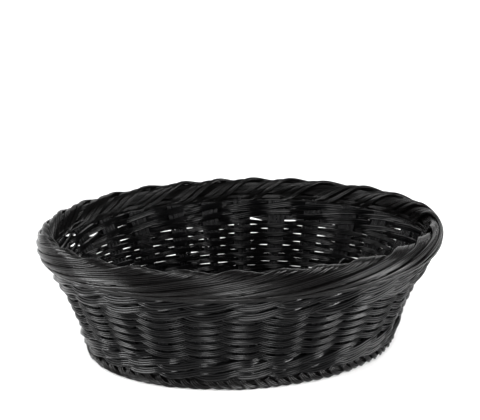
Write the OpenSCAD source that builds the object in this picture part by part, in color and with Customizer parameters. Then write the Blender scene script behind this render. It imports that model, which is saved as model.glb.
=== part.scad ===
// Oval fruit basket woven from flat plastic cane.
// Two-strand stakes rise from a stick base, with plain weave between two bands of
// three-rod wale, a rolled rope border at the rim and a rolled foot border below.
// Millimetres, +Z up, X along the long axis, origin at the centre of the resting plane.

/* [Basket] */
// Overall length over the rim border
rim_len = 380; // [350:2:420]
// Overall width over the rim border
rim_wid = 312; // [290:2:340]
// Overall length of the foot border
foot_len = 290; // [280:2:320]
// Overall width of the foot border
foot_wid = 224; // [220:2:250]
// Overall height
height = 120; // [112:1:130]

/* [Weave] */
// Number of stakes round the wall
stake_n = 26; // [22:2:30]
// Rows of plain weave between the wales
row_n = 12; // [10:2:14]
// Rounds in each band of three-rod wale
wale_rounds = 2; // [1:1:3]
// Height that one round of wale takes up
wale_pitch = 8.7; // [7:0.1:10]

/* [Cane] */
// Thickness of a flat cane
cane_t = 2; // [1.6:0.1:2.2]
// Width of a flat cane where it shows in full
cane_w = 4.4; // [3.6:0.1:4.8]
// Width of one of the two strands of a stake
stake_w = 4.2; // [3.4:0.1:4.4]
// Thickness of a stake strand
stake_t = 2.8; // [2.2:0.1:3]

/* [Borders] */
// Width of the rim border, inside to outside
rim_w = 14; // [12:0.5:16]
// Height of the rim border
rim_h = 23; // [18:1:24]
// Stakes that one border strand passes before it turns in
rim_reach = 4; // [3.6:0.1:4.4]
// Height of the foot border
foot_h = 13.5; // [12:0.5:15]
// Width of the foot border
foot_w = 11; // [10:0.5:12]

/* [Base] */
// Sticks along the base
long_n = 4; // [3:1:5]
// Sticks across the base
cross_n = 9; // [7:2:11]
// Distance between the sticks along the base
long_gap = 12; // [10:1:13]
// Distance between the sticks across the base
cross_gap = 14; // [12:1:15]
// Rounds of weave on the base
round_n = 10; // [8:1:12]

/* [Hidden] */
clear = 0.25;                          // gap left between canes that pass each other
start_angle = 90;                      // the first stake stands at the middle of the back
rim_z = height - rim_h / 2;            // middle of the rim border
rim_in = rim_w / 2;                    // from the rim's outer edge to the middle of the wall
foot_in = foot_w / 2 + 0.5;            // from the foot's outer edge to the middle of the wall
wale_h = wale_rounds * wale_pitch;
low_z = foot_h + 0.3;                  // bottom of the lower wale
top_z = height - rim_h - 0.6 - wale_h; // bottom of the upper wale
weave_z = low_z + wale_h;              // bottom of the plain weave
row_pitch = (top_z - weave_z) / row_n;
row_h = row_pitch - clear;
wave = stake_t / 2 + cane_t / 2 + 0.9; // a row's swing to either side of the stakes
wave_flat = 1.6;                       // over 1, so that a row runs straight over each stake
row_step_n = 6;                        // points of a row from one stake to the next
wale_swing = wave + 0.2;
wale_bias = 0.35;                      // a wale strand spends this much more time outside
wale_flat = 1.3;
wale_cane = wale_pitch / 2 - clear;    // height of one wale strand
wale_step_n = 3;                       // points of a wale strand from one stake to the next
wale_over = 3;                         // stakes in one repeat of a three-rod wale
bye_from = 0.4;                        // the bye-stakes start this far up the plain weave
bye_t = stake_t - 0.6;
border_per_stake = 3;                  // border strands that each stake gives
foot_slant = 35;                       // lean of the foot's border strands
rim_from = -54;                        // angle across the rim at which a border strand starts
rim_to = 94;                           // and at which it turns in, just past the top
rim_step_n = 10;                       // sections along a border strand
rim_cane = cane_w - 1.2;               // border strands are packed, so each shows this much
rim_side_n = 8;                        // corners of the rim core's section
rim_under = 6;                         // the corner that faces down
tuck_h = 0.62 * rim_h;                 // height of the strand ends inside the rim
base_z = 4;                            // underside of the base sticks
stick_w = 5;
stick_t = 2.4;
stick_x = half_x(0) - foot_w / 2 - 1;  // half length of the oval that the sticks fill
stick_y = half_y(0) - foot_w / 2 - 1;
round_t = 2;                           // thickness of a base round
round_z = base_z + 2 * (stick_t + clear);
cane_black = [0.07, 0.07, 0.075];
stick_black = [0.12, 0.12, 0.125];
wale_black = [0.16, 0.16, 0.17];
border_black = [0.22, 0.22, 0.23];

function name_of(stem, i) = str(stem, i < 10 ? "0" : "", i);
ROWS = [for (i = [1:row_n]) name_of("weave_row_", i)];
WALES = ["a", "b", "c"];
ROUNDS = [for (i = [1:round_n]) name_of("base_round_", i)];

// Half length and half width of the wall's middle surface at height z
function lean(top, foot, z) = foot + (top - foot) * z / rim_z;
function half_x(z) = lean(rim_len / 2 - rim_in, foot_len / 2 - foot_in, z);
function half_y(z) = lean(rim_wid / 2 - rim_in, foot_wid / 2 - foot_in, z);

// Ellipse angle of a place counted in stakes, so that the stakes stand evenly apart
arc_n = 120;
function oval_spot(a, b, i) = [a * cos(360 * i / arc_n), b * sin(360 * i / arc_n)];
function spot(i) = oval_spot(half_x(height / 2), half_y(height / 2), i);
arc_table = [for (i = 0, s = 0; i <= arc_n; s = s + norm(spot(i + 1) - spot(i)), i = i + 1)
    [s, 360 * i / arc_n]];
arc_total = arc_table[arc_n][0];
arc_start = start_angle / 360 * arc_total;
function angle_at(k) =
    let (s = arc_start + k / stake_n * arc_total, turns = floor(s / arc_total))
    360 * turns + lookup(s - turns * arc_total, arc_table);

// Horizontal outward normal, and a point of the wall at height z moved along it
function normal_at(k, z) =
    let (t = angle_at(k), v = [half_y(z) * cos(t), half_x(z) * sin(t), 0]) v / norm(v);
function wall_at(k, z, out = 0) =
    [half_x(z) * cos(angle_at(k)), half_y(z) * sin(angle_at(k)), z] + out * normal_at(k, z);

function limited(x) = max(-1, min(1, x));
function flat(p) = [p.x, p.y];

// A closed ring or open strip swept through sections that all have m corners
module swept(sections, ring = false) {
    n = len(sections);
    m = len(sections[0]);
    last = ring ? n - 1 : n - 2;
    skin = [for (i = [0:last], j = [0:m - 1])
        let (a = i * m + j, b = i * m + (j + 1) % m, c = ((i + 1) % n) * m + j,
             d = ((i + 1) % n) * m + (j + 1) % m)
        each [[a, b, c], [b, d, c]]];
    caps = ring ? [] : [[for (j = [m - 1:-1:0]) j], [for (j = [0:m - 1]) (n - 1) * m + j]];
    polyhedron([for (s = sections) each s], concat(skin, caps));
}

// Corners of a flat cane with its face along n and its width along v
function cane(p, n, v, w, t) = [for (c = [[1, -1], [1, 1], [-1, 1], [-1, -1]])
    p + c[0] * t / 2 * n + c[1] * w / 2 * v];

// A straight bar of width w and thickness t that leans with the wall at place k,
// from height z0 to z1, shifted sideways by side
module leaning_bar(k, z0, z1, w, t, side = 0) {
    p = wall_at(k, z0);
    d = wall_at(k, z1) - p;
    n = normal_at(k, (z0 + z1) / 2);
    turn = atan2(n.y, n.x);
    out = d * n;
    translate(p)
        rotate([0, 0, turn])
            rotate([0, atan2(out, d.z), 0])
                translate([-t / 2, side - w / 2, 0])
                    cube([t, w, norm(d)]);
}

// An oval band between two half lengths and widths
module oval_band(z, h, out_x, out_y, w) {
    translate([0, 0, z])
        difference() {
            linear_extrude(h)
                polygon([for (i = [0:arc_n - 1]) oval_spot(out_x, out_y, i)]);
            translate([0, 0, -1])
                linear_extrude(h + 2)
                    polygon([for (i = [0:arc_n - 1]) oval_spot(out_x - w, out_y - w, i)]);
        }
}

module base_cross_sticks() {
    color(stick_black)
        for (i = [0:cross_n - 1]) {
            x = (i - (cross_n - 1) / 2) * cross_gap;
            reach = stick_y * sqrt(1 - pow(x / half_x(0), 2));
            translate([x - stick_w / 2, -reach, base_z])
                cube([stick_w, 2 * reach, stick_t]);
        }
}

module base_long_sticks() {
    color(stick_black)
        for (i = [0:long_n - 1]) {
            y = (i - (long_n - 1) / 2) * long_gap;
            reach = stick_x * sqrt(1 - pow(y / half_y(0), 2));
            translate([-reach, y - stick_w / 2, base_z + stick_t + clear])
                cube([2 * reach, stick_w, stick_t]);
        }
}

// One round of weave on the base, counted from the middle outwards
module base_round(i) {
    f = (i - 1) / (round_n - 1);
    in_x = (cross_n + 1) / 2 * cross_gap;
    in_y = (long_n + 1) / 2 * long_gap;
    out_x = stick_x - 0.5;
    out_y = stick_y - 0.5;
    color(cane_black)
        oval_band(round_z, round_t, in_x + (out_x - in_x) * f, in_y + (out_y - in_y) * f, cane_w);
}

module foot_core() {
    color(border_black)
        oval_band(0, foot_h, foot_len / 2 - cane_t - clear, foot_wid / 2 - cane_t - clear,
            foot_w - cane_t - clear);
}

// Short slanting canes round the outside of the foot
module foot_wraps() {
    n = border_per_stake * stake_n;
    reach = (foot_h - cane_w * sin(foot_slant)) / cos(foot_slant) - 1;
    color(border_black)
        for (i = [0:n - 1]) {
            k = i / border_per_stake;
            dir = normal_at(k, 0);
            translate(wall_at(k, 0, foot_in - cane_t / 2) + [0, 0, foot_h / 2])
                rotate([0, 0, atan2(dir.y, dir.x)])
                    rotate([foot_slant, 0, 0])
                        cube([cane_t, cane_w, reach], center = true);
        }
}

module stakes() {
    color(stick_black)
        for (k = [0:stake_n - 1], side = [-1, 1])
            leaning_bar(k, low_z, rim_z - rim_h / 2, stake_w, stake_t, side * (stake_w + 0.1) / 2);
}

// Extra strands pushed in beside each stake in the upper part of the wall
module bye_stakes() {
    from_z = weave_z + bye_from * (top_z - weave_z);
    aside = 1.5 * stake_w + 0.4;
    color(stick_black)
        for (k = [0:stake_n - 1], side = [-1, 1])
            leaning_bar(k, from_z, rim_z - rim_h / 2, stake_w, bye_t, side * aside);
}

// One row of plain weave, in front of every other stake and behind the rest
module weave_row(i) {
    z = weave_z + (i - 1) * row_pitch + clear / 2;
    phase = i % 2 == 0 ? 1 : -1;
    n = stake_n * row_step_n;
    function edge(off) = [for (j = [0:n - 1])
        let (k = j / row_step_n)
        flat(wall_at(k, z + row_h / 2, wave * phase * limited(wave_flat * cos(180 * k)) + off))];
    color(cane_black)
        difference() {
            translate([0, 0, z])
                linear_extrude(row_h)
                    polygon(edge(cane_t / 2));
            translate([0, 0, z - 1])
                linear_extrude(row_h + 2)
                    polygon(edge(-cane_t / 2));
        }
}

// One strand of a three-rod wale: outside two stakes, inside the third, and
// stepping up to the next round over the last three stakes
module wale_strand(z0, lead) {
    rise = wale_pitch / 4;
    function swing(q) = limited(wale_bias + wale_flat * cos(360 / wale_over * (q - 0.5)));
    function lift(q) = q < 1 ? -rise * cos(180 * q) : rise * cos(90 * (q - 1));
    function climb(k) =
        let (r = floor(k / stake_n), m = k - r * stake_n)
        wale_pitch * (r + max(0, m - stake_n + wale_over) / wale_over);
    steps = (wale_rounds * stake_n - wale_over) * wale_step_n;
    color(wale_black)
        swept([for (j = [0:steps])
            let (k = lead + j / wale_step_n, q = k - lead - wale_over * floor((k - lead) / wale_over),
                 z = z0 + wale_pitch / 2 + climb(k) + lift(q))
            cane(wall_at(k, z, wale_swing * swing(q)), normal_at(k, z), [0, 0, 1], wale_cane, cane_t)]);
}

// Direction across the border's section at angle f, in the plane of place k
function border_dir(k, f) = cos(f) * normal_at(k, rim_z) + [0, 0, sin(f)];
function border_spot(k, f, inset) =
    wall_at(k, rim_z) + (rim_w / 2 - inset) * cos(f) * normal_at(k, rim_z)
    + [0, 0, (rim_h / 2 - inset) * sin(f)];

// The bundle of bent-over stake ends that the border is rolled round
module rim_core() {
    function inset(j) = j == rim_under ? cane_t / 4 : cane_t + clear;
    color(border_black)
        swept([for (i = [0:border_per_stake * stake_n - 1])
            [for (j = [0:rim_side_n - 1])
                border_spot(i / border_per_stake, 360 / rim_side_n * j, inset(j))]],
            ring = true);
}

// Border strands, rising slowly over the outside and turning in over the top
module rim_wraps() {
    color(border_black)
        for (i = [0:stake_n - 1])
            swept([for (j = [0:rim_step_n])
                let (u = j / rim_step_n, k = i + rim_reach * u, f = rim_from + (rim_to - rim_from) * u)
                cane(border_spot(k, f, cane_t / 2), border_dir(k, f), border_dir(k, f + 90),
                    rim_cane, cane_t)]);
}

// Ends of the border strands, turned down inside the rim
module rim_tucks() {
    n = border_per_stake * stake_n;
    color(border_black)
        for (i = [0:n - 1]) {
            k = i / border_per_stake;
            dir = normal_at(k, rim_z);
            translate(wall_at(k, rim_z, cane_t / 2 - rim_w / 2))
                rotate([0, 0, atan2(dir.y, dir.x)])
                    cube([cane_t, cane_w, tuck_h], center = true);
        }
}

base_cross_sticks();
base_long_sticks();
for (i = [1:round_n]) base_round(i);
foot_core();
foot_wraps();
stakes();
bye_stakes();
for (i = [0:2]) wale_strand(low_z, i);
for (i = [1:row_n]) weave_row(i);
for (i = [0:2]) wale_strand(top_z, i);
rim_core();
rim_wraps();
rim_tucks();
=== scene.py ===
"""Oval fruit basket woven from flat, ribbed, black plastic cane.

Every strand is its own swept mesh, laid on the wall, border or base that the frame gives.
A place round the basket is counted in stakes, from the middle of the back and anticlockwise
as seen from above. An angle across a border starts outwards and turns upwards.
"""

import math

import bpy
import numpy as np
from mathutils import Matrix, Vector


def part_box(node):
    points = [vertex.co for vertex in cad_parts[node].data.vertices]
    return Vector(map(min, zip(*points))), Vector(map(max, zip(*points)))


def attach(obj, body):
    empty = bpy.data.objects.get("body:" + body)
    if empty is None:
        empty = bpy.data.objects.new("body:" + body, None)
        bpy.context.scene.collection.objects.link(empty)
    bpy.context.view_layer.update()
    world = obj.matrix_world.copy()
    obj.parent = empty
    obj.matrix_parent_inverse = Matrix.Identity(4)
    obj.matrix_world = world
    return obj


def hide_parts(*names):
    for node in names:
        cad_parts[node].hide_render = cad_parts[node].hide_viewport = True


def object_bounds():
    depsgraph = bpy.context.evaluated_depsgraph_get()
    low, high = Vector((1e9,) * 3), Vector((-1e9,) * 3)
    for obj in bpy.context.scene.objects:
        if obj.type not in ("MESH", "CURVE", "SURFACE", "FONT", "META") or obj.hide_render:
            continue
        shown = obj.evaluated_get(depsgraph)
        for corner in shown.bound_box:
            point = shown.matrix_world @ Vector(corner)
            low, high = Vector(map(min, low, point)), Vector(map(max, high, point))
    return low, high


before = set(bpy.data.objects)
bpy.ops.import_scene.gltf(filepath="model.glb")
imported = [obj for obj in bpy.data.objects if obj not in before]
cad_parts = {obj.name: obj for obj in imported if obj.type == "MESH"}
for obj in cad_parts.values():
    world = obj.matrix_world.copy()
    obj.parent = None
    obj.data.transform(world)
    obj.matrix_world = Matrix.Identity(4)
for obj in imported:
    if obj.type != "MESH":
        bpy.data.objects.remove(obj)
cad_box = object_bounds()

MM = 0.001
TAU = 2 * math.pi

# The basket, as part.scad has it
STAKES = 26
ROWS = 12
WALE_ROUNDS = 2
WALE_OVER = 3  # stakes in one repeat of a wale, and strands in it
BORDER_STRANDS = 3  # that each stake gives to a border
BASE_ROUNDS = 10
LONG_STICKS = 4
CROSS_STICKS = 9
RIM_W = 14 * MM
RIM_H = 23 * MM
FOOT_W = 11 * MM
CORE_INSET = 2.25 * MM  # the cores lie this far below the borders' outer faces
WALL_IN = 0.5 * MM  # the wall stands this far inside the middle of the foot border
WALL_BOW = 1.6 * MM  # the wall curves inwards this much at mid height
CLEAR = 0.25 * MM  # that the CAD canes leave between each other

# The weave
SWING = 3.5 * MM  # how far a row swings to either side of the stakes
CROSSING = 0.9  # higher makes a row run straighter over each stake and cross more steeply
DROOP = 0.55 * MM  # how far a row sags on the outside of a stake, and rises on its inside
ROW_LEAN = math.radians(9)  # the lower edge of a row stands out
SHINGLE = math.radians(24)  # and stands out further where rows cross
WALE_SWING = SWING + 0.5 * MM
WALE_BIAS = 0.35  # a wale strand spends this much more of its way outside
WALE_FLAT = 1.3
WALE_HUMP = 1.1 * MM  # it stands out further in the middle of its outer float
WALE_HUMP_LENGTH = 0.4  # in stakes
WALE_LIFT = 1 / 3  # how far it rises and falls, in rounds
WALE_LEAN = math.radians(28)
STEPS = 10  # sections of a strand from one stake to the next

# Handmade irregularity, as standard deviations
STAKE_PLACE = 0.035  # in stakes
STAKE_LEAN = 0.35 * MM
ROW_SWING = 0.07
ROW_HEIGHT = 0.22 * MM
ROW_TURN = 0.07
WALE_HEIGHT = 0.25 * MM
WALE_TURN = 0.05
WALE_NOISE = 97  # random values along a wale strand, more than the stakes that it passes

rng = np.random.default_rng(26)


# ---------------------------------------------------------------- the wall's surface


def unit(v):
    return v / np.linalg.norm(v, axis=-1, keepdims=True)


rim_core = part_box("rim_core")
foot_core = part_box("foot_core")
RIM_Z = cad_box[1][2] - RIM_H / 2
TOP_X = rim_core[1][0] + CORE_INSET - RIM_W / 2
TOP_Y = rim_core[1][1] + CORE_INSET - RIM_W / 2
FOOT_X = foot_core[1][0] + CORE_INSET - FOOT_W / 2 - WALL_IN
FOOT_Y = foot_core[1][1] + CORE_INSET - FOOT_W / 2 - WALL_IN
FOOT_H = foot_core[1][2]


def half_sizes(z):
    """Half length and half width of the wall's middle surface at height z."""
    s = np.asarray(z) / RIM_Z
    bow = WALL_BOW * 4 * s * (1 - s) * (s > 0) * (s < 1)
    return FOOT_X + (TOP_X - FOOT_X) * s - bow, FOOT_Y + (TOP_Y - FOOT_Y) * s - bow


def arc_table(samples=720):
    """Length along the oval at mid height against the ellipse's angle, from the back."""
    t = np.linspace(0, TAU, samples + 1) + TAU / 4
    a, b = half_sizes(RIM_Z / 2)
    x, y = a * np.cos(t), b * np.sin(t)
    s = np.concatenate([[0], np.cumsum(np.hypot(np.diff(x), np.diff(y)))])
    return s / s[-1] * STAKES, t


ARC_K, ARC_T = arc_table()
STAKE_DRIFT = rng.normal(0, STAKE_PLACE, STAKES)  # no two stakes stand quite evenly apart


def smooth_noise(values, k):
    """Values at whole places, joined smoothly, that repeat after the last one."""
    n = len(values)
    k = np.mod(k, n)
    i = np.floor(k).astype(int)
    f = k - i
    f = f * f * (3 - 2 * f)
    return values[i % n] * (1 - f) + values[(i + 1) % n] * f


def uneven(spread, k, n=STAKES):
    """Newly drawn smooth noise at places k."""
    return smooth_noise(rng.normal(0, spread, n), k)


def angle_at(k):
    """Ellipse angle of a place counted in stakes."""
    k = np.asarray(k, float)
    k = k + smooth_noise(STAKE_DRIFT, k)
    turns = np.floor(k / STAKES)
    return np.interp(k - turns * STAKES, ARC_K, ARC_T) + turns * TAU


def on_wall(k, z):
    """Point of the wall with its unit directions along, up and outwards, for arrays k and z."""
    k, z = np.broadcast_arrays(np.asarray(k, float), np.asarray(z, float))

    def point(t, height):
        a, b = half_sizes(height)
        return np.stack([a * np.cos(t), b * np.sin(t), height], -1)

    t = angle_at(k)
    step = 1e-4
    p = point(t, z)
    along = unit(point(t + step, z) - point(t - step, z))
    up = unit(point(t, z + step) - point(t, z - step))
    out = unit(np.cross(along, up))
    up = np.cross(out, along)
    return p, along, up, out


# ---------------------------------------------------------------- canes and strands

RIBS = 3
POINTS_PER_RIB = 5
EDGE = 8  # higher keeps the ribs' full height closer to the cane's edges
SHARP = math.radians(60)  # edges that bend more than this are shaded as sharp


def cane_section(width, thick, rib=0.5 * MM, flat=6.0):
    """Corners of a flat cane: ribs on both faces and rounded edges. Low flat makes it an oval."""
    n = POINTS_PER_RIB * RIBS
    s = np.linspace(-1, 1, n + 1)
    face = (thick / 2 - rib) * (1 - np.abs(s) ** flat) ** 0.5
    lobes = rib * np.abs(np.sin(np.linspace(0, RIBS * math.pi, n + 1))) * (1 - s**EDGE)
    top = np.stack([face + lobes, s * width / 2], -1)
    bottom = top[1:-1][::-1] * [-1, 1]
    return np.concatenate([top, bottom])


CANE_W = 5.8 * MM
CANE_T = 1.7 * MM
STAKE_W = 4.5 * MM
BORDER_RIB = 0.62 * MM
ROW_CANE = cane_section(5.45 * MM, 2.0 * MM, flat=3.0)
WALE_CANE = cane_section(6.9 * MM, 3.2 * MM, flat=2.2)
STAKE_CANE = cane_section(STAKE_W, 2.0 * MM, rib=0.45 * MM)
RIM_CANE = cane_section(CANE_W, 3.2 * MM, rib=BORDER_RIB, flat=2.0)
RIM_END_CANE = cane_section(5.1 * MM, 3.8 * MM, rib=0.4 * MM, flat=2.0)
LOOP_CANE = cane_section(4.2 * MM, CANE_T, rib=BORDER_RIB, flat=2.0)
FOOT_CANE = cane_section(5.6 * MM, 3.2 * MM, rib=BORDER_RIB, flat=2.0)
RIM_CORE_CANE = cane_section(4.4 * MM, 2.4 * MM)
FOOT_CORE_CANE = cane_section(4.0 * MM, 2.0 * MM)
STICK_CANE = cane_section(4.4 * MM, 2.2 * MM)
ROUND_CANE = cane_section(CANE_W, CANE_T)


def new_object(name, data):
    made = bpy.data.objects.new(name, data)
    bpy.context.scene.collection.objects.link(made)
    return made


class Mesh:
    """Gathers strands into one mesh."""

    def __init__(self):
        self.points, self.faces, self.cuts, self.count = [], [], [], 0

    def sweep(self, path, out, side, section, closed=False, cut=False):
        """A strand along path: section's first number runs along out, its second along side.
        Its first end is a pale cut end if cut."""
        n, m = len(path), len(section)
        rings = (
            path[:, None]
            + section[None, :, :1] * out[:, None]
            + section[None, :, 1:] * side[:, None]
        )
        self.points.append(rings.reshape(-1, 3))
        i = np.arange(n if closed else n - 1)
        j = np.arange(m)
        a = i[:, None] * m + j
        b = i[:, None] * m + (j + 1) % m
        c = ((i[:, None] + 1) % n) * m + (j + 1) % m
        d = ((i[:, None] + 1) % n) * m + j
        quads = np.stack([a, b, c, d], -1).reshape(-1, 4) + self.count
        self.faces.extend(quads.tolist())
        if cut:
            self.cuts.append(len(self.faces))
        if not closed:
            self.faces.append((np.arange(m)[::-1] + self.count).tolist())
            self.faces.append((np.arange(m) + (n - 1) * m + self.count).tolist())
        self.count += n * m

    def build(self, node_name, material):
        """The gathered mesh as a piece that stands for a CAD node."""
        mesh = bpy.data.meshes.new(f"strand_{node_name}")
        mesh.from_pydata(np.concatenate(self.points).tolist(), [], self.faces)
        mesh.validate()
        piece = new_object(f"strand_{node_name}", mesh)
        mesh.materials.append(material)
        if self.cuts:
            mesh.materials.append(CUT_END)
            for i in self.cuts:
                mesh.polygons[i].material_index = 1
        mesh.shade_smooth()
        mesh.set_sharp_from_angle(angle=SHARP)
        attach(piece, "root")
        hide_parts(node_name)


def leaned(up, out, angle):
    """Side and face directions of a strand turned about its own run, lower edge outwards."""
    c = np.cos(angle)[:, None]
    s = np.sin(angle)[:, None]
    return up * c - out * s, out * c + up * s


def ring_run(path):
    """Unit direction along a closed path."""
    return unit(np.roll(path, -1, 0) - np.roll(path, 1, 0))


# ---------------------------------------------------------------- materials


def node(tree, kind, **values):
    """A new shader node, with values for its sockets or its own properties."""
    n = tree.nodes.new(kind)
    for name, value in values.items():
        if name in n.inputs:
            n.inputs[name].default_value = value
        else:
            setattr(n, name, value)
    return n


def cane_material(name, base, coat, rough):
    """Black plastic cane: soft mottling, fine grain, and a gloss that is uneven over the cane
    and from one strand to the next."""
    material = bpy.data.materials.new(name)
    material.use_nodes = True
    tree = material.node_tree
    tree.nodes.clear()
    link = tree.links.new
    output = node(tree, "ShaderNodeOutputMaterial")
    shader = node(tree, "ShaderNodeBsdfPrincipled")
    shader.inputs["IOR"].default_value = 1.5
    shader.inputs["Specular IOR Level"].default_value = 0.09
    shader.inputs["Coat Weight"].default_value = coat
    shader.inputs["Coat Roughness"].default_value = 0.28
    link(shader.outputs["BSDF"], output.inputs["Surface"])
    coords = node(tree, "ShaderNodeTexCoord")

    mottling = node(tree, "ShaderNodeTexNoise", Scale=160.0, Detail=4.0, Roughness=0.6)
    link(coords.outputs["Object"], mottling.inputs["Vector"])
    shade = node(tree, "ShaderNodeValToRGB")
    for stop, position, strength in zip(shade.color_ramp.elements, (0.3, 0.75), (0.6, 1.5)):
        stop.position = position
        stop.color = (*[strength * c for c in base], 1)
    link(mottling.outputs["Fac"], shade.inputs["Fac"])
    link(shade.outputs["Color"], shader.inputs["Base Color"])

    gloss = node(tree, "ShaderNodeTexNoise", Scale=420.0, Detail=3.0)
    link(coords.outputs["Object"], gloss.inputs["Vector"])
    strand = node(tree, "ShaderNodeNewGeometry")
    mixed = node(tree, "ShaderNodeMath", operation="MULTIPLY_ADD")
    mixed.inputs[1].default_value = 0.6  # the strand's share beside the noise
    link(strand.outputs["Random Per Island"], mixed.inputs[0])
    link(gloss.outputs["Fac"], mixed.inputs[2])
    spread = node(tree, "ShaderNodeMapRange")
    spread.inputs["From Min"].default_value = 0.3
    spread.inputs["From Max"].default_value = 1.3
    spread.inputs["To Min"].default_value = rough - 0.04
    spread.inputs["To Max"].default_value = rough + 0.08
    link(mixed.outputs["Value"], spread.inputs["Value"])
    link(spread.outputs["Result"], shader.inputs["Roughness"])

    grain = node(tree, "ShaderNodeTexNoise", Scale=1500.0, Detail=2.0)
    link(coords.outputs["Object"], grain.inputs["Vector"])
    bump = node(tree, "ShaderNodeBump", Strength=0.25, Distance=0.2 * MM)
    link(grain.outputs["Fac"], bump.inputs["Height"])
    link(bump.outputs["Normal"], shader.inputs["Normal"])
    return material


WEAVE = cane_material("weaving_cane", (0.0009, 0.0009, 0.001), coat=0.02, rough=0.17)
# The stake cane, also used for the base sticks, has a lighter base colour than the weaving cane.
# That is painted light, which brightens the stakes on the shaded inside of the back wall. Its
# stronger coat is real gloss.
STAKE_PAINTED_LIGHTER = cane_material("stake_cane", (0.0036, 0.0036, 0.0039), coat=0.07, rough=0.24)
CUT_END = cane_material("cut_end", (0.11, 0.11, 0.115), coat=0, rough=0.5)
BORDER = cane_material("border_cane", (0.0011, 0.001, 0.001), coat=0.02, rough=0.17)


# ---------------------------------------------------------------- rows of plain weave


def weave_row(i):
    """One row, outside every other stake and inside the rest."""
    name = f"weave_row_{i:02d}"
    low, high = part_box(name)
    k = np.arange(STAKES * STEPS) / STEPS
    swing = np.tanh(CROSSING * np.cos(math.pi * (k + i))) / math.tanh(CROSSING)
    strength = 1 + uneven(ROW_SWING, k)
    height = uneven(ROW_HEIGHT, k) - DROOP * swing
    p, along, up, out = on_wall(k, (low[2] + high[2]) / 2)
    p = p + out * (SWING * swing * strength)[:, None] + up * height[:, None]
    lean = ROW_LEAN + SHINGLE * (1 - swing**4) + uneven(ROW_TURN, k)
    side, face = leaned(up, out, lean)
    mesh = Mesh()
    mesh.sweep(p, face, side, ROW_CANE, closed=True)
    mesh.build(name, WEAVE)


for i in range(1, ROWS + 1):
    weave_row(i)


# ---------------------------------------------------------------- wales


def wale(stem, stretch, raised):
    """Three strands, each outside two stakes and inside the third, climbing from left to right
    on the outside, and stepping up to the next round over the last three stakes. stretch makes
    the rounds higher than the CAD has them, and raised lifts them."""
    low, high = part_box(f"{stem}_a")
    bottom = low[2] - CLEAR / 2
    pitch = stretch * (high[2] + CLEAR / 2 - bottom) / WALE_ROUNDS
    passed = WALE_ROUNDS * STAKES + WALE_OVER
    for lead, letter in enumerate("abc"):
        k = lead - WALE_OVER + np.arange(passed * STEPS + 1) / STEPS
        q = np.mod(k - lead, WALE_OVER)
        swing = np.clip(WALE_BIAS + WALE_FLAT * np.cos(TAU / WALE_OVER * (q - 0.5)), -1, 1)
        swing = np.sin(swing * math.pi / 2)
        lift = np.where(q < 1, -np.cos(math.pi * q), np.cos(math.pi / 2 * (q - 1)))
        full = np.clip(np.floor(k / STAKES), 0, WALE_ROUNDS - 1)
        last_stakes = np.clip(k - (full + 1) * STAKES + WALE_OVER, 0, WALE_OVER)
        climb = np.minimum(full + last_stakes / WALE_OVER, WALE_ROUNDS - 1)
        z = bottom + raised + pitch * (0.5 + climb + WALE_LIFT * lift)
        hump = WALE_HUMP * np.exp(-(((q - 0.5) / WALE_HUMP_LENGTH) ** 2))
        height = uneven(WALE_HEIGHT, k, WALE_NOISE)
        p, along, up, out = on_wall(k, z)
        p = p + out * (WALE_SWING * swing + hump)[:, None] + up * height[:, None]
        side, face = leaned(up, out, WALE_LEAN + uneven(WALE_TURN, k, WALE_NOISE))
        mesh = Mesh()
        mesh.sweep(p, face, side, WALE_CANE)
        mesh.build(f"{stem}_{letter}", WEAVE)


wale("lower_wale", stretch=1.0, raised=0.7 * MM)
wale("upper_wale", stretch=1.15, raised=-0.5 * MM)


# ---------------------------------------------------------------- stakes

STAKE_POINTS = 16
STAKE_FOOT = 0.35 * FOOT_H  # height at which the stakes start, inside the foot border
STAKE_LAP = 0.15 * MM  # of two strands side by side
INTO_RIM = 3 * MM  # the strands run further up into the rim border than the CAD ones


def stake_strands(name, places, bottom):
    """Flat strands that stand in the wall, side by side at each stake. places are counted in
    strands from the stake's middle."""
    mesh = Mesh()
    heights = np.linspace(bottom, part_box(name)[1][2] + INTO_RIM, STAKE_POINTS)
    f = np.linspace(-1, 1, STAKE_POINTS)
    for stake in range(STAKES):
        for place in places:
            lean = rng.normal(0, STAKE_LEAN)
            p, along, up, out = on_wall(float(stake), heights)
            shift = place * (STAKE_W - STAKE_LAP) + lean * f
            mesh.sweep(p + along * shift[:, None], out, -along, STAKE_CANE)
    mesh.build(name, STAKE_PAINTED_LIGHTER)


stake_strands("stakes", (-0.5, 0.5), STAKE_FOOT)
stake_strands("bye_stakes", (-1.5, 1.5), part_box("bye_stakes")[0][2])


# ---------------------------------------------------------------- borders

BUNDLE_STEPS = 4  # sections of a bundle's strand from one stake to the next


def on_border(k, f, inset, half_w=RIM_W / 2, half_h=RIM_H / 2, z=RIM_Z):
    """Point of a rolled border at angle f across its section, with its face direction."""
    t = angle_at(k)
    a, b = half_sizes(z)
    p = np.stack([a * np.cos(t), b * np.sin(t), np.full_like(t, z)], -1)
    out = unit(np.stack([b * np.cos(t), a * np.sin(t), np.zeros_like(t)], -1))
    upward = np.zeros_like(p)
    upward[:, 2] = 1
    p = p + out * ((half_w - inset) * np.cos(f))[:, None]
    p = p + upward * ((half_h - inset) * np.sin(f))[:, None]
    face = unit(out * (half_h * np.cos(f))[:, None] + upward * (half_w * np.sin(f))[:, None])
    return p, face


def lay(mesh, k, f, inset, lean, cane, cut=False, **border):
    """A strand laid on the border along places k and section angles f."""
    p, face = on_border(k, f, inset, **border)
    run = unit(np.gradient(p, axis=0))
    side = unit(np.cross(face, run))
    side, face = leaned(side, np.cross(run, side), np.full(len(k), lean))
    mesh.sweep(p, face, side, cane, cut=cut)


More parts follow.
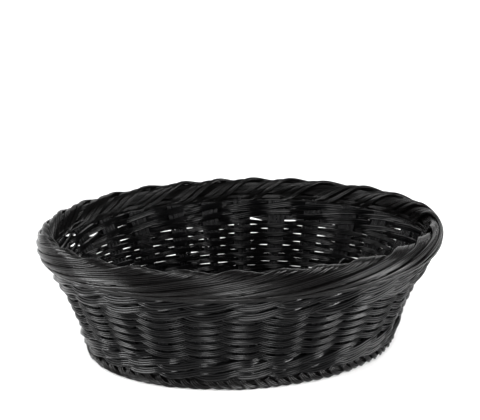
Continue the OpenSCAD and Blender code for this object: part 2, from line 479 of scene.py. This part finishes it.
def bundle(name, angles, cane, inset_at, **border):
    """The strands that run along inside a border, seen only between those round it, and kept
    off the ground."""
    mesh = Mesh()
    k = np.arange(STAKES * BUNDLE_STEPS) / BUNDLE_STEPS
    for angle in angles:
        p, face = on_border(k, np.full_like(k, angle), inset_at(angle), **border)
        p[:, 2] = np.maximum(p[:, 2], CANE_T)
        mesh.sweep(p, face, unit(np.cross(face, ring_run(p))), cane, closed=True)
    mesh.build(name, BORDER)


# ---------------------------------------------------------------- rim border

RIM_POINTS = 42
RIM_END_POINTS = 30
SPACING = 0.25  # in stakes, of the strands that come from one stake
STAKE_TOGETHER = 0.05  # irregular place of a stake's strands together, in stakes
STRAND_ALONE = 0.02  # and of each strand
RIM_FROM = -80  # degrees across the border at which a strand starts
RIM_CLIMB = 38  # degrees that it climbs from one stake to the next
RIM_ROLL_AT = 3.2  # stakes after which it turns in over the top
RIM_ROLL = 120  # degrees that it then turns from one stake to the next, besides its climb
RIM_ROLL_EASE = 0.6  # stakes over which the turn sets in
RIM_JOINT = 3.55  # stakes after which the strand belongs to the node of the tucked ends
RIM_JOINT_LAP = 0.05
RIM_REACH = 4.9  # stakes that a strand passes, from its start to its tucked end
RIM_SUNK = 1.6 * MM  # how much deeper its start lies
RIM_SUNK_LENGTH = 1.2  # stakes over which it comes up
FIRST_LAYER = CANE_T / 2 - 0.3 * MM  # depth of a stake's first strand
LAYER = 0.95 * MM  # the next ones lie this much deeper each
RIM_DEPTH_SPREAD = (-0.2, 0.25)  # irregular depth, in mm
RIM_TOP = 100  # degrees across the border where a strand stands highest
RIM_TOP_WIDTH = 34
RIM_HUMP = 1.2 * MM  # how high a stake's first strand stands there
RIM_HUMP_LESS = 0.4 * MM  # and how much less each next one does
RIM_HUMP_SPREAD = (-0.2, 0.4)  # irregular height there, in mm
FIRST_RIM_LEAN = math.radians(-20)
RIM_LEAN = math.radians(-12)
RIM_BUNDLE = 12  # strands inside the rim border
RIM_BUNDLE_INSET = 3.6 * MM
RIM_BUNDLE_HANG = 4.2 * MM  # they fill the underside too, down to the upper wale

LOOP_POINTS = 24
LOOP_AT = 14.15  # one slack strand stands up as a loop inside the rim, at the front right
LOOP_REACH = 0.42  # in stakes
LOOP_FROM = 118  # degrees across the border where it starts
LOOP_DOWN = 30  # degrees that it runs down
LOOP_INSET = 0.5 * MM
LOOP_STANDS = 5 * MM


def rim_angle(u):
    """Angle across the border u stakes after a strand's start."""
    late = np.maximum(0, u - RIM_ROLL_AT)
    roll = RIM_ROLL * late**2 / (late + RIM_ROLL_EASE)
    return np.radians(RIM_FROM + RIM_CLIMB * u + roll)


def rim_strands():
    """Strands that start below the border at each stake, climb its outside slowly, roll over
    its top and run down inside."""
    outer = Mesh()
    inner = Mesh()
    for stake in range(STAKES):
        drift = rng.normal(0, STAKE_TOGETHER)
        for j in range(BORDER_STRANDS):
            start = stake + drift + SPACING * j + rng.normal(0, STRAND_ALONE)
            depth = FIRST_LAYER + LAYER * j + rng.uniform(*RIM_DEPTH_SPREAD) * MM
            hump = RIM_HUMP - RIM_HUMP_LESS * j + rng.uniform(*RIM_HUMP_SPREAD) * MM
            lean = RIM_LEAN if j else FIRST_RIM_LEAN
            for mesh, first, last, points, cane in (
                (outer, 0, RIM_JOINT + RIM_JOINT_LAP, RIM_POINTS, RIM_CANE),
                (inner, RIM_JOINT - RIM_JOINT_LAP, RIM_REACH, RIM_END_POINTS, RIM_END_CANE),
            ):
                u = np.linspace(first, last, points)
                f = rim_angle(u)
                over = np.exp(-(((np.degrees(f) - RIM_TOP) / RIM_TOP_WIDTH) ** 2))
                sunk = RIM_SUNK * np.maximum(0, 1 - u / RIM_SUNK_LENGTH) ** 2
                lay(mesh, start + u, f, depth + sunk - hump * over, lean, cane)
    u = np.linspace(0, 1, LOOP_POINTS)
    f = np.radians(LOOP_FROM + LOOP_DOWN * u)
    inset = LOOP_INSET - LOOP_STANDS * np.sin(math.pi * u)
    lay(inner, LOOP_AT + LOOP_REACH * u, f, inset, 0, LOOP_CANE)
    outer.build("rim_wraps", BORDER)
    inner.build("rim_tucks", BORDER)


def rim_bundle_inset(angle):
    return RIM_BUNDLE_INSET + RIM_BUNDLE_HANG * min(0, math.sin(angle))


bundle("rim_core", TAU * np.arange(RIM_BUNDLE) / RIM_BUNDLE, RIM_CORE_CANE, rim_bundle_inset)
rim_strands()


# ---------------------------------------------------------------- foot border

FOOT_POINTS = 30
FOOT_REACH = 0.62  # stakes that a strand passes
FOOT_PLACE = 0.03  # irregular place of its start, in stakes
FOOT_FROM = 36  # degrees across the border at which it starts
FOOT_ROLL = 112  # degrees that it rolls down and under
FOOT_EASE = 0.75  # under 1, so that it rolls faster at its start
FOOT_PROUD = (-2.4, -1.4)  # its start stands out by at most and at least this, in mm
FOOT_SINK = 4.1 * MM  # how much deeper its end lies
FOOT_LEAN = math.radians(8)
FOOT_HALF_W = FOOT_W / 2 + 0.4 * MM
FOOT_HALF_H = (FOOT_H - 1.0 * MM) / 2
FOOT_BUNDLE = 10  # strands inside the foot border
FOOT_BUNDLE_INSET = 2.4 * MM
FOOT_BUNDLE_REACH = 3.4 * MM  # they reach further in, as far as the last round of the base
FOOT_BUNDLE_HALF_H = (FOOT_H + 1.5 * MM) / 2  # and up to the lower wale


def foot_strands():
    """Short slanting strands rolled over the outside of the foot, with pale cut ends."""
    mesh = Mesh()
    u = np.linspace(0, 1, FOOT_POINTS)
    f = np.radians(FOOT_FROM - FOOT_ROLL * u**FOOT_EASE)
    for stake in range(STAKES):
        for j in range(BORDER_STRANDS):
            start = stake + j / BORDER_STRANDS + rng.normal(0, FOOT_PLACE)
            depth = CANE_T / 2 + rng.uniform(*FOOT_PROUD) * MM + FOOT_SINK * u
            lay(mesh, start + FOOT_REACH * u, f, depth, FOOT_LEAN, FOOT_CANE, cut=True,
                half_w=FOOT_HALF_W, half_h=FOOT_HALF_H, z=FOOT_HALF_H)
    mesh.build("foot_wraps", BORDER)


def foot_bundle_inset(angle):
    return FOOT_BUNDLE_INSET + FOOT_BUNDLE_REACH * min(0, math.cos(angle))


bundle("foot_core", TAU * (np.arange(FOOT_BUNDLE) + 0.5) / FOOT_BUNDLE, FOOT_CORE_CANE,
       foot_bundle_inset, half_w=FOOT_W / 2, half_h=FOOT_BUNDLE_HALF_H, z=FOOT_BUNDLE_HALF_H)
foot_strands()


# ---------------------------------------------------------------- base

BASE_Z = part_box("base_cross_sticks")[0][2] + 2.6 * MM  # where sticks across and along meet
OUT_X, OUT_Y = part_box("base_round_10")[1][:2]
STICK_POINTS = 41
STICK_HALF = 2.5 * MM  # half the width of a CAD stick
STICK_LIFT = 1.1 * MM  # the sticks across lie this much lower at the middle, those along higher
STICK_PAIR = 4.3 * MM  # spacing of the two strands of a stick
STICK_FAN = 0.25  # the sticks spread by this share towards their ends
INTO_FOOT = 1.0 * MM
ROUND_STEPS = 8
ROUND_SWING = 2.1 * MM
ROUND_CROSSING = 1.6


def base_sticks(name, count, across):
    """Sticks of two strands side by side that fan out towards the wall, across the base or
    along it."""
    axis, other = (0, 1) if across else (1, 0)
    lift = -STICK_LIFT if across else STICK_LIFT
    half_span, half_run = (OUT_X, OUT_Y) if across else (OUT_Y, OUT_X)
    low, high = (corner[axis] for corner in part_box(name))
    s = np.linspace(-1, 1, STICK_POINTS)
    side = np.zeros((STICK_POINTS, 3))
    side[:, axis] = 1
    up = np.zeros((STICK_POINTS, 3))
    up[:, 2] = 1
    mesh = Mesh()
    for i in range(count):
        at = low + STICK_HALF + (high - low - 2 * STICK_HALF) * i / (count - 1)
        reach = half_run * math.sqrt(1 - (at / half_span) ** 2) + INTO_FOOT
        for place in (-0.5, 0.5):
            p = np.zeros((STICK_POINTS, 3))
            p[:, axis] = at * (1 + STICK_FAN * s**2) + place * STICK_PAIR
            p[:, other] = s * reach
            p[:, 2] = BASE_Z + lift * (1 - s**2)
            mesh.sweep(p, up, side, STICK_CANE)
    mesh.build(name, STAKE_PAINTED_LIGHTER)


def base_round(i):
    """One round of weave, over and under the sticks."""
    name = f"base_round_{i:02d}"
    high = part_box(name)[1]
    k = np.arange(STAKES * ROUND_STEPS) / ROUND_STEPS
    t = angle_at(k)
    a, b = high[0] - CANE_W / 2, high[1] - CANE_W / 2
    z = BASE_Z + ROUND_SWING * np.tanh(ROUND_CROSSING * np.cos(math.pi * (k + i)))
    p = np.stack([a * np.cos(t), b * np.sin(t), z], -1)
    run = ring_run(p)
    side = unit(np.cross([0, 0, 1], run))
    mesh = Mesh()
    mesh.sweep(p, np.cross(run, side), side, ROUND_CANE, closed=True)
    mesh.build(name, WEAVE)


base_sticks("base_cross_sticks", CROSS_STICKS, across=True)
base_sticks("base_long_sticks", LONG_STICKS, across=False)
for i in range(1, BASE_ROUNDS + 1):
    base_round(i)


# ---------------------------------------------------------------- studio

FLOOR_HALF = 6.0  # half the floor's width
FLOOR_FRONT = -4.0
CURVE_AT = 1.6  # behind the basket, where the floor starts to curve up
CURVE_R = 0.9
BACKDROP_TOP = 4.0
BASKET = Vector((0, 0, RIM_Z / 2))
BACKDROP = Vector((0, 2.4, 0.4))
LIGHTS = (  # name, place, what it shines on, size, power in watts
    ("top", (-0.35, -0.45, 1.25), BASKET, (0.7, 0.7), 7),
    ("fill", (-0.27, -0.99, 0.85), BASKET, (0.5, 0.3), 11),
    ("front", (-0.37, -1.35, 0.2), BASKET, (0.45, 0.4), 22),
    ("left", (-1.4, -0.11, 0.22), BASKET, (0.8, 0.42), 46),
    ("right", (1.14, -0.81, 0.22), BASKET, (0.8, 0.42), 46),
    ("back_left", (-1.6, 1.2, 1.7), BACKDROP, (1.2, 1.2), 40),
    ("back_right", (1.6, 1.2, 1.7), BACKDROP, (1.2, 1.2), 40),
)


def look_at(made, target):
    """Turns a light or camera to face a point."""
    made.rotation_euler = (target - made.location).to_track_quat("-Z", "Y").to_euler()


def studio():
    """A pale floor that curves up behind, low softboxes in front and at both sides, weaker
    ones above, and two that light the backdrop."""
    curve = [
        (CURVE_AT + CURVE_R * math.sin(a), CURVE_R - CURVE_R * math.cos(a))
        for a in np.linspace(0, math.pi / 2, 16)
    ]
    profile = [(FLOOR_FRONT, 0.0), *curve, (CURVE_AT + CURVE_R, BACKDROP_TOP)]
    points = [(x, y, z) for y, z in profile for x in (-FLOOR_HALF, FLOOR_HALF)]
    faces = [(2 * i, 2 * i + 1, 2 * i + 3, 2 * i + 2) for i in range(len(profile) - 1)]
    mesh = bpy.data.meshes.new("floor")
    mesh.from_pydata(points, [], faces)
    mesh.shade_smooth()
    paper = bpy.data.materials.new("floor_paper")
    paper.use_nodes = True
    shader = paper.node_tree.nodes["Principled BSDF"]
    shader.inputs["Base Color"].default_value = (0.8, 0.8, 0.8, 1)
    shader.inputs["Roughness"].default_value = 0.8
    mesh.materials.append(paper)
    new_object("floor", mesh)

    world = bpy.data.worlds.new("studio")
    world.use_nodes = True
    background = world.node_tree.nodes["Background"]
    background.inputs["Color"].default_value = (1, 1, 1, 1)
    background.inputs["Strength"].default_value = 0.22
    bpy.context.scene.world = world
    bpy.context.scene.view_settings.view_transform = "Standard"

    for name, place, target, size, power in LIGHTS:
        light = bpy.data.lights.new(name, "AREA")
        light.shape = "RECTANGLE"
        light.size, light.size_y = size
        light.energy = power
        lamp = new_object(name, light)
        lamp.location = place
        look_at(lamp, target)


studio()


# ---------------------------------------------------------------- camera

CAMERA_AZIMUTH = math.radians(-15.5)
CAMERA_ELEVATION = math.radians(19.6)
CAMERA_DISTANCE = 1.08
CAMERA_LENS = 85.3
AIM_X = -0.0026
AIM_ABOVE = 0.0703  # it looks over the basket, which stands low in the picture


def camera():
    """Looks down on the basket from the front, a little to the left of its short axis."""
    middle = (cad_box[0][2] + cad_box[1][2]) / 2
    data = bpy.data.cameras.new("camera")
    data.lens = CAMERA_LENS
    data.sensor_width = 36
    cam = new_object("camera", data)
    away = (
        math.sin(CAMERA_AZIMUTH) * math.cos(CAMERA_ELEVATION),
        -math.cos(CAMERA_AZIMUTH) * math.cos(CAMERA_ELEVATION),
        math.sin(CAMERA_ELEVATION),
    )
    cam.location = Vector((0, 0, middle)) + CAMERA_DISTANCE * Vector(away)
    look_at(cam, Vector((AIM_X, 0, middle + AIM_ABOVE)))
    bpy.context.scene.camera = cam


camera()
